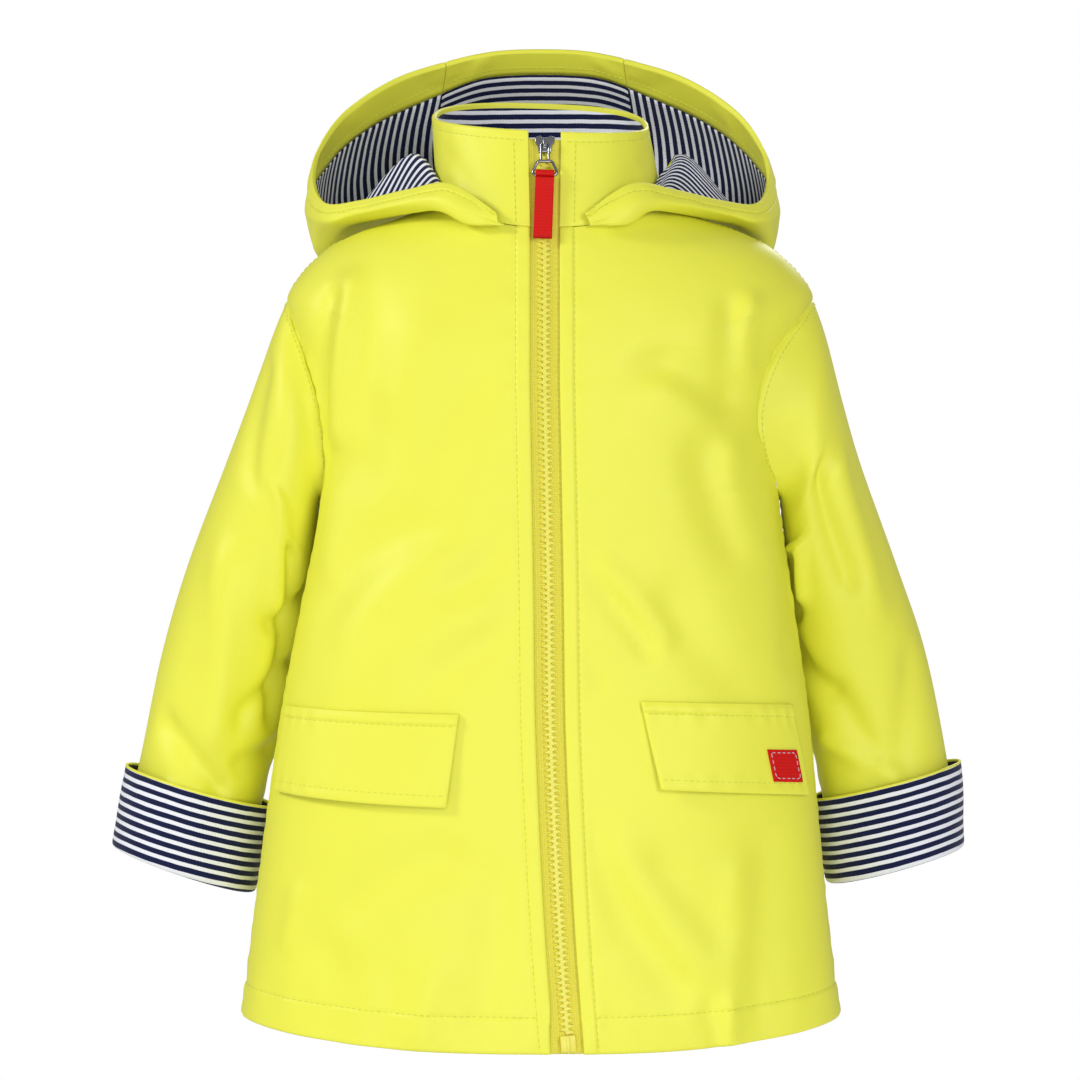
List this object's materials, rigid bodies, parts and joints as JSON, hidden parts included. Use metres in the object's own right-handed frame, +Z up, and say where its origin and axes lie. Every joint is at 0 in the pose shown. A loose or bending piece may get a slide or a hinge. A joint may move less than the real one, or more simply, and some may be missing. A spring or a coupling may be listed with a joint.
{
  "type": "kids raincoat",
  "caption": "Child's hooded zip raincoat, filled out as if worn, with hood pushed back, stand collar, turned-up striped cuffs and flapped pockets.",
  "frame": {"origin": "the wearer's neck base, at the level where the collar meets the coat, halfway across; the wearer carries the coat there", "axes": "+Z up the wearer's back to the head, -Y out of the front of the coat, +X to the viewer's right, which is the wearer's left"},
  "size_m": [0.4723, 0.2295, 0.5531],
  "materials": {
    "shell": "polyurethane-coated cloth, satin",
    "lining": "navy and white striped cotton jersey",
    "tape": "woven polyester zip tape",
    "teeth": "moulded acetal, satin",
    "metal": "nickel-plated zinc casting",
    "webbing": "woven red polyester"
  },
  "bodies": {
    "coat": {"front_right": "shell", "front_left": "shell", "back": "shell", "sleeve_right": "shell", "sleeve_left": "shell", "cuff_right": "lining", "cuff_left": "lining", "collar": "shell", "collar_lining": "lining", "hood_right": "shell", "hood_centre": "shell", "hood_left": "shell", "hood_lining_right": "lining", "hood_lining_centre": "lining", "hood_lining_left": "lining", "zip_tape_right": "tape", "zip_tape_left": "tape", "zip_chain": "teeth", "zip_box": "teeth", "zip_slider": "metal", "flap_right": "shell", "flap_left": "shell", "label": "webbing"},
    "pull": {"zip_pull": "metal", "pull_tab": "webbing"}
  },
  "joints": [
    {"name": "zip_pull_swing", "type": "hinge", "parent": "coat", "child": "pull", "pos_m": [-0.0029, -0.05482, 0.03369], "axis": [-1, 0, 0], "range_deg": [0, 165]}
  ]
}
